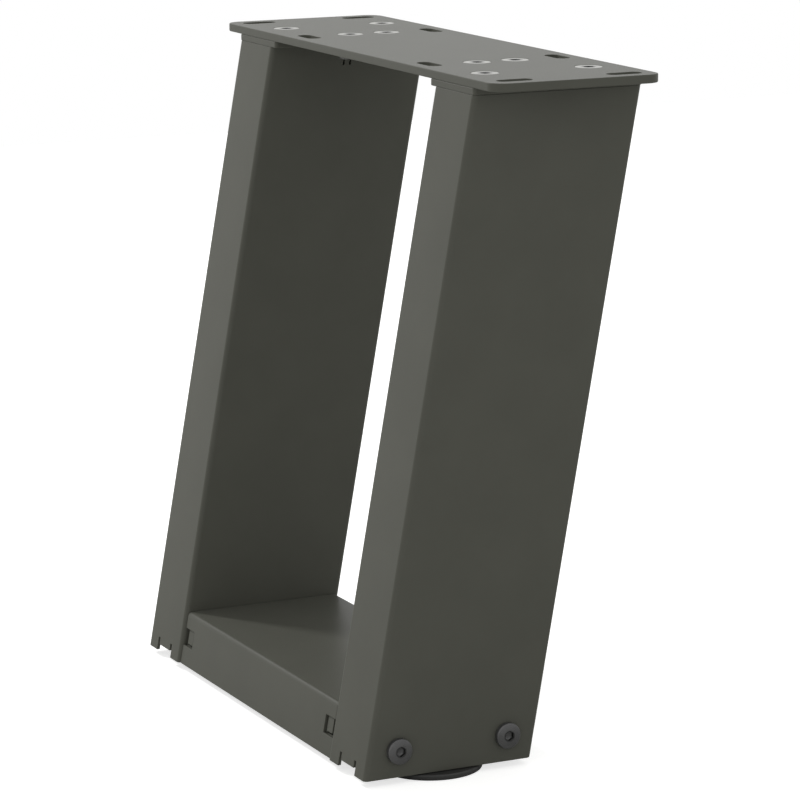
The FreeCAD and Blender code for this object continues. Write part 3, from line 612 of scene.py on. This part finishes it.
def turned_piece(name, surfaces, body, slot, material, *nodes, painted_shade_rings=slice(0, 0)):
    """One object from grids of rings, closed round the axis; poles and seams are merged, normals turned out.

    Two point attributes go with it: lathe, the length along the profile, and socket, 1 on the rings painted
    with shade.
    """
    points, faces, lathe, deep, first = [], [], [], [], 0
    for grid in surfaces:
        rings, around = grid.shape[:2]
        faces += grid_faces(first, rings, around)
        points.append(grid.reshape(-1, 3))
        reach = np.linalg.norm(np.diff(grid, axis=0), axis=2).mean(1)
        lathe.append(np.repeat(np.concatenate([[0], np.cumsum(reach)]), around))
        # Painted shade: 1 on the socket rings whose colour turns black as shade.
        shade_values = np.zeros(rings)
        shade_values[painted_shade_rings] = 1.0
        deep.append(np.repeat(shade_values, around))
        first += rings * around
    mesh = bpy.data.meshes.new(name)
    mesh.from_pydata((np.vstack(points) * 0.001).tolist(), [], faces)
    for label, values in (("lathe", lathe), ("socket", deep)):
        mesh.attributes.new(label, "FLOAT", "POINT").data.foreach_set("value", np.concatenate(values))
    work = bmesh.new()
    work.from_mesh(mesh)
    bmesh.ops.remove_doubles(work, verts=work.verts, dist=MERGE_WITHIN)
    bmesh.ops.recalc_face_normals(work, faces=work.faces)
    work.to_mesh(mesh)
    work.free()
    mesh.polygons.foreach_set("use_smooth", np.ones(len(mesh.polygons), bool))
    mesh.set_sharp_from_angle(angle=SHARP_FROM)
    mesh.materials.append(material)
    piece = bpy.data.objects.new(name, mesh)
    bpy.context.scene.collection.objects.link(piece)
    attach(piece, body)
    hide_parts(*nodes)


def lathed(name, dark, light, rough, metallic, marks):
    """Turned steel: fine rings round the axis from the lathe attribute, over the tone from the grain group.

    The socket attribute turns the tone towards black, painted shade for the inside of the socket.
    """
    material = coated(name, dark, light, rough, broad=60.0, fine=2500.0, bump=0.10, metallic=metallic)
    nodes, links = material.node_tree.nodes, material.node_tree.links
    along = nodes.new("ShaderNodeAttribute")
    along.attribute_name = "lathe"
    groove = nodes.new("ShaderNodeTexNoise")
    groove.noise_dimensions = "1D"
    groove.inputs["Scale"].default_value = marks
    groove.inputs["Detail"].default_value = 2.0
    relief = nodes.new("ShaderNodeBump")
    relief.inputs["Strength"].default_value = 0.25
    relief.inputs["Distance"].default_value = 0.00004
    # Painted shade: the socket attribute mixes the tone towards black inside the socket.
    socket_shade_mask = nodes.new("ShaderNodeAttribute")
    socket_shade_mask.attribute_name = "socket"
    socket_shade_mix = nodes.new("ShaderNodeMix")
    socket_shade_mix.data_type = "RGBA"
    socket_shade_mix.inputs["B"].default_value = SOCKET_PAINTED_SHADE
    links.new(socket_shade_mask.outputs["Fac"], socket_shade_mix.inputs["Factor"])
    links.new(nodes["Mix"].outputs["Result"], socket_shade_mix.inputs["A"])
    links.new(socket_shade_mix.outputs["Result"], nodes["Principled BSDF"].inputs["Base Color"])
    links.new(along.outputs["Fac"], groove.inputs["W"])
    links.new(groove.outputs["Fac"], relief.inputs["Height"])
    fine = nodes["Bump"]
    links.new(fine.outputs["Normal"], relief.inputs["Normal"])
    links.new(relief.outputs["Normal"], nodes["Principled BSDF"].inputs["Normal"])
    return material


ZINC = lathed("zinc_on_steel", ZINC_DARK, ZINC_LIGHT, rough=(0.32, 0.44), metallic=1.0, marks=9.0)

sunk_rings = screw_tip(SUNK_FOOT) + [thread_rings(SUNK_FOOT + TIP_LENGTH, SUNK_THREAD_END)]
sunk_rings += [ring(radius, height) for radius, height in SUNK_PROFILE]
sunk_rings += socket_rings(widening=0, mouth=SUNK_TOP, wall=SUNK_TOP - 0.28, deep=SUNK_TOP - SOCKET_DEPTH,
                           corner=0.5)
sunk_screw = turned(sunk_rings)

for side, tag in SIDES:
    screws = [sunk_screw + (side * x, sy * y, 0) for x, y in SCREW_PLACES for sy in (-1, 1)]
    # The whole socket, walls and floor, is painted black as shade.
    turned_piece(f"plate_screws_{tag}", screws, "frame", "screw_steel", ZINC, f"{tag}_top_screws",
                 painted_shade_rings=SOCKET_ALL)

# Weld nuts: M8, hexagonal with turned chamfers, of plain dark steel. Four sit under each flange,
# two on each foot bracket's upright and one on its base.
NUT_ACROSS, NUT_HEIGHT, NUT_BORE, NUT_MOUTH = 13.0, 6.5, 4.05, 4.5
NUT_CHAMFER, NUT_CHAMFER_ROWS, NUT_THREAD_FROM, NUT_THREAD_SHARE, CORNER_CUT = 0.9, 7, 0.7, 0.15, 0.97
NUT_STEEL = lathed("weld_nut_steel", (0.10, 0.10, 0.095, 1), (0.16, 0.16, 0.15, 1), rough=(0.38, 0.52),
                   metallic=0.85, marks=6.0)


def nut_surface():
    """Outside, the lesser radius of a hexagon and of a 30 degree cone at each end, and a threaded bore."""
    flats = hexagon(AROUND, NUT_ACROSS)
    rise = np.linspace(0, NUT_CHAMFER, NUT_CHAMFER_ROWS)
    levels = np.concatenate([rise, np.linspace(NUT_HEIGHT - NUT_CHAMFER, NUT_HEIGHT, NUT_CHAMFER_ROWS)])
    cone = NUT_ACROSS / 2 * CORNER_CUT + np.minimum(levels, NUT_HEIGHT - levels) * math.tan(math.radians(60))
    outside = [ring(np.minimum(flats, reach), level) for level, reach in zip(levels, cone)]
    radius, height = thread_rings(NUT_THREAD_FROM, NUT_HEIGHT - NUT_THREAD_FROM)
    bore = (NUT_BORE + (radius - THREAD_RADIUS + THREAD_PLAY) * NUT_THREAD_SHARE)[::-1], height[::-1]
    return turned([ring(NUT_MOUTH, 0), *outside, ring(NUT_MOUTH, NUT_HEIGHT), bore, ring(NUT_MOUTH, 0)])


upright_nut = nut_surface()
side_places = [leg_y(SIDE_SCREW_Z) + sy * SIDE_SCREW_Y for sy in (-1, 1)]
for side, tag in SIDES:
    top_nuts = [upright_nut + (side * x, sy * y, LEG_TOP - NUT_HEIGHT)
                for x, y in SCREW_PLACES for sy in (-1, 1)]
    turned_piece(f"flange_nuts_{tag}", top_nuts, "frame", "dark_steel", NUT_STEEL, f"{tag}_top_nuts")
    turned_piece(f"stud_nut_{tag}", [upright_nut + (side * LEG_X, FOOT_Y, FOOT_UNDER + FOOT_SHEET)], "frame",
                 "dark_steel", NUT_STEEL, f"{tag}_foot_nut")
    lying = np.stack([-side * upright_nut[..., 2], upright_nut[..., 0], upright_nut[..., 1]], -1)
    side_nuts = [lying + (side * (FOOT_OUTER - FOOT_SHEET), y, SIDE_SCREW_Z) for y in side_places]
    turned_piece(f"bracket_nuts_{tag}", side_nuts, "frame", "dark_steel", NUT_STEEL, f"{tag}_side_nuts")

# Side screws: M8 with a low round head and a hexagon socket, blackened, two in each leg's outer
# wall. The head is turned: a straight side, a rounded shoulder and a slight crown.
BUTTON_RADIUS, BUTTON_HEIGHT, BUTTON_CROWN, SHOULDER, SIDE_SCREW_LENGTH = 7.7, 4.0, 1.0, 0.8, 16.0
HEAD_BREAK, CROWN_INNER, CROWN_ROWS, SHOULDER_ROWS = 0.2, 3.6, 7, 6
BUTTON_THREAD_END = -2.4
BUTTON_PROFILE = ((THREAD_RADIUS, -2.2), (THREAD_RADIUS, 0), (BUTTON_RADIUS - HEAD_BREAK, 0),
                  (BUTTON_RADIUS, HEAD_BREAK))
BLACK_STEEL = lathed("blackened_steel", (0.085, 0.085, 0.086, 1), (0.12, 0.12, 0.121, 1), rough=(0.26, 0.34),
                     metallic=0.45, marks=5.0)
ball = (BUTTON_RADIUS ** 2 + BUTTON_CROWN ** 2) / (2 * BUTTON_CROWN)
crown_radius = np.linspace(BUTTON_RADIUS - SHOULDER, CROWN_INNER, CROWN_ROWS)
crown = BUTTON_HEIGHT - ball + np.sqrt(ball ** 2 - crown_radius ** 2)
shoulder_end = np.pi / 2 - math.asin((BUTTON_RADIUS - SHOULDER) / ball)
shoulder_in, shoulder_low = BUTTON_RADIUS - SHOULDER, crown[0] - SHOULDER
button_rings = screw_tip(-SIDE_SCREW_LENGTH)
button_rings.append(thread_rings(TIP_LENGTH - SIDE_SCREW_LENGTH, BUTTON_THREAD_END))
button_rings += [ring(radius, height) for radius, height in BUTTON_PROFILE]
button_rings += [ring(shoulder_in + SHOULDER * math.cos(a), shoulder_low + SHOULDER * math.sin(a))
                 for a in np.linspace(0, shoulder_end, SHOULDER_ROWS)[:-1]]
button_rings += [ring(reach, level) for level, reach in zip(crown, crown_radius)]
button_rings += socket_rings(widening=0.05, mouth=BUTTON_HEIGHT - 0.22, wall=BUTTON_HEIGHT - 0.5,
                             deep=BUTTON_HEIGHT - SOCKET_DEPTH, corner=0.4)
button_screw = turned(button_rings)

for side, tag in SIDES:
    lying = np.stack([side * button_screw[..., 2], button_screw[..., 0], button_screw[..., 1]], -1)
    screws = [lying + (side * (LEG_X + LEG_HALF_X), y, SIDE_SCREW_Z) for y in side_places]
    # The socket's mouth and walls are painted black as shade, and its floor keeps the head's tone.
    turned_piece(f"button_screws_{tag}", screws, "frame", "dark_steel", BLACK_STEEL, f"{tag}_side_screws",
                 painted_shade_rings=SOCKET_WALLS)

# Levelling feet: an M8 stud with a hexagon collar, riveted to a round black pad with a ribbed
# underside. The pad turns to raise or lower the leg.
PAD_TOP, PAD_RADIUS, PAD_THICK, PAD_WEB, PAD_RECESS, PAD_BORE = -400.5, 31.0, 3.5, 2.0, 7.25, 4.05
PAD_FACE, PAD_UPPER_ROUND, PAD_LOWER_ROUND, PAD_EDGE_ROWS = (PAD_BORE, 12.0, 21.0, 29.0), 1.1, 0.7, 5
RIB_OUTER, RIB_INNER, RIB_SLOPE, RIB_COUNT, RIB_HEIGHT = 27.9, 12.6, 0.7, 24, 0.25
RECESS_CHAMFER, WIDE = 0.3, np.linspace(0, 2 * np.pi, 144, endpoint=False)
COLLAR_ACROSS, COLLAR_HEIGHT, COLLAR_CHAMFER, STUD_TOP, STUD_TIP = 13.0, 4.0, 0.5, -374.0, 2.8
RIVET_RADIUS, RIVET_THICK, RIVET_CHAMFER = 6.5, 1.2, (0.5, 0.4)
PAD_BLACK = coated("moulded_black", (0.018, 0.018, 0.017, 1), (0.030, 0.030, 0.028, 1), rough=(0.45, 0.62),
                   broad=40.0, fine=1800.0, bump=0.3)

collar = hexagon(AROUND, COLLAR_ACROSS)
rivet_low = PAD_TOP - PAD_WEB - RIVET_THICK
web_low, collar_top, collar_face = PAD_TOP - PAD_WEB, PAD_TOP + COLLAR_HEIGHT, COLLAR_ACROSS / 2 * CORNER_CUT
stud_rings = [ring(0, rivet_low), ring(RIVET_RADIUS - RIVET_CHAMFER[0], rivet_low),
              ring(RIVET_RADIUS, rivet_low + RIVET_CHAMFER[1]), ring(RIVET_RADIUS, web_low),
              ring(THREAD_RADIUS, web_low), ring(THREAD_RADIUS, PAD_TOP), ring(collar_face, PAD_TOP),
              ring(collar, PAD_TOP + COLLAR_CHAMFER), ring(collar, collar_top - COLLAR_CHAMFER),
              ring(collar_face, collar_top), ring(THREAD_RADIUS, collar_top),
              thread_rings(collar_top + 0.4, STUD_TOP - 0.6),
              ring(TIP_CORE, STUD_TOP - TIP_CHAMFER), ring(STUD_TIP, STUD_TOP), ring(0, STUD_TOP)]
stud = turned(stud_rings)

pad_low = PAD_TOP - PAD_THICK
rib_level = (pad_low + (RIB_HEIGHT * np.clip(np.cos(WIDE * RIB_COUNT) * 3, -1, 1) + RIB_HEIGHT))[None]
edge_turn = np.linspace(0, np.pi / 2, PAD_EDGE_ROWS)
pad_rings = [ring(reach, PAD_TOP, WIDE) for reach in PAD_FACE]
pad_rings += [ring(PAD_RADIUS - PAD_UPPER_ROUND + PAD_UPPER_ROUND * math.sin(a),
                   PAD_TOP - PAD_UPPER_ROUND + PAD_UPPER_ROUND * math.cos(a), WIDE) for a in edge_turn]
pad_rings += [ring(PAD_RADIUS - PAD_LOWER_ROUND + PAD_LOWER_ROUND * math.cos(a),
                   pad_low + PAD_LOWER_ROUND - PAD_LOWER_ROUND * math.sin(a), WIDE) for a in edge_turn]
pad_rings.append(ring(RIB_OUTER + RIB_SLOPE, pad_low, WIDE))
pad_rings += [(ring(reach, 0, WIDE)[0], rib_level) for reach in (RIB_OUTER, RIB_INNER)]
pad_rings += [ring(RIB_INNER - RIB_SLOPE, pad_low, WIDE), ring(PAD_RECESS + RECESS_CHAMFER, pad_low, WIDE),
              ring(PAD_RECESS, pad_low + RECESS_CHAMFER, WIDE), ring(PAD_RECESS, web_low, WIDE),
              ring(PAD_BORE, web_low, WIDE), ring(PAD_BORE, PAD_TOP, WIDE)]
pad = turned(pad_rings, WIDE)

for side, tag in SIDES:
    turned_piece(f"threaded_stud_{tag}", [stud + (side * LEG_X, FOOT_Y, 0)], f"{tag}_stud", "dark_steel",
                 BLACK_STEEL, f"{tag}_foot_stud")
    turned_piece(f"round_pad_{tag}", [pad + (side * LEG_X, FOOT_Y, 0)], f"{tag}_pad", "pad_plastic",
                 PAD_BLACK, f"{tag}_foot_pad")

# Studio: a plain pale floor under the pads, an even white surround, one key light high at the front
# left, and the camera low at the right of the leg's front.
FLOOR_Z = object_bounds()[0][2] - 0.0002
CAMERA_PLACE, CAMERA_TURN, CAMERA_RISE, CAMERA_ROLL = (1.972308, -0.973725, 0.239583), 64.222, 11.761, -0.234
FOCAL_PIXELS, IMAGE_PIXELS, SENSOR = 3642.1, 800, 36.0
SURROUND, FLOOR_GLOW, FLOOR_REACH = 0.55, 0.70, 2.5
KEY_PLACE, KEY_TARGET, KEY_WIDTH, KEY_POWER = (-1.84, -0.94, 1.40), (0, -0.05, -0.2), 0.3, 25.0

floor_mesh = bpy.data.meshes.new("studio_floor")
floor_corners = [(x, y, FLOOR_Z) for x, y in rectangle(-FLOOR_REACH, -FLOOR_REACH, FLOOR_REACH, FLOOR_REACH)]
floor_mesh.from_pydata(floor_corners, [], [(0, 1, 2, 3)])
floor = bpy.data.objects.new("studio_floor", floor_mesh)
bpy.context.scene.collection.objects.link(floor)
paper = bpy.data.materials.new("pale_floor")
paper.use_nodes = True
nodes, links = paper.node_tree.nodes, paper.node_tree.links
shader = nodes["Principled BSDF"]
shader.inputs["Base Color"].default_value = (0.80, 0.80, 0.79, 1)
shader.inputs["Roughness"].default_value = 0.9
path = nodes.new("ShaderNodeLightPath")
shader.inputs["Emission Color"].default_value = (1, 1, 1, 1)
glow = nodes.new("ShaderNodeMapRange")
glow.inputs["To Max"].default_value = FLOOR_GLOW
links.new(path.outputs["Is Camera Ray"], glow.inputs["Value"])
links.new(glow.outputs["Result"], shader.inputs["Emission Strength"])
floor_mesh.materials.append(paper)

world = bpy.data.worlds.new("surround")
bpy.context.scene.world = world
world.use_nodes = True
nodes, links = world.node_tree.nodes, world.node_tree.links
fill = nodes["Background"]
fill.inputs["Color"].default_value = (1.0, 1.0, 0.985, 1)
fill.inputs["Strength"].default_value = SURROUND
path = nodes.new("ShaderNodeLightPath")
white = nodes.new("ShaderNodeBackground")
white.inputs["Color"].default_value = (1, 1, 1, 1)
shown = fill
for ray in ("Is Glossy Ray", "Is Transmission Ray", "Is Camera Ray"):
    blend = nodes.new("ShaderNodeMixShader")
    links.new(path.outputs[ray], blend.inputs["Fac"])
    links.new(shown.outputs[0], blend.inputs[1])
    links.new(white.outputs[0], blend.inputs[2])
    shown = blend
links.new(shown.outputs[0], nodes["World Output"].inputs["Surface"])

key_light = bpy.data.lights.new("front_left", "AREA")
key_light.size, key_light.energy = KEY_WIDTH, KEY_POWER
key_lamp = bpy.data.objects.new("front_left", key_light)
key_lamp.location = KEY_PLACE
key_lamp.rotation_mode = "QUATERNION"
key_lamp.rotation_quaternion = (Vector(KEY_TARGET) - Vector(KEY_PLACE)).to_track_quat("-Z", "Y")
key_lamp.visible_camera = False
bpy.context.scene.collection.objects.link(key_lamp)

camera = bpy.data.objects.new("camera", bpy.data.cameras.new("camera"))
camera.data.sensor_width = SENSOR
camera.data.lens = FOCAL_PIXELS / IMAGE_PIXELS * SENSOR
camera.data.clip_start, camera.data.clip_end = 0.1, 50
turn, rise, roll = (math.radians(v) for v in (CAMERA_TURN, CAMERA_RISE, CAMERA_ROLL))
back = Vector((math.sin(turn) * math.cos(rise), -math.cos(turn) * math.cos(rise), math.sin(rise)))
right = Vector((math.cos(turn), math.sin(turn), 0))
up = back.cross(right)
right, up = math.cos(roll) * right + math.sin(roll) * up, math.cos(roll) * up - math.sin(roll) * right
camera.matrix_world = Matrix.Translation(CAMERA_PLACE) @ Matrix((right, up, back)).transposed().to_4x4()
bpy.context.scene.collection.objects.link(camera)
bpy.context.scene.camera = camera
bpy.context.scene.view_settings.view_transform = "Standard"
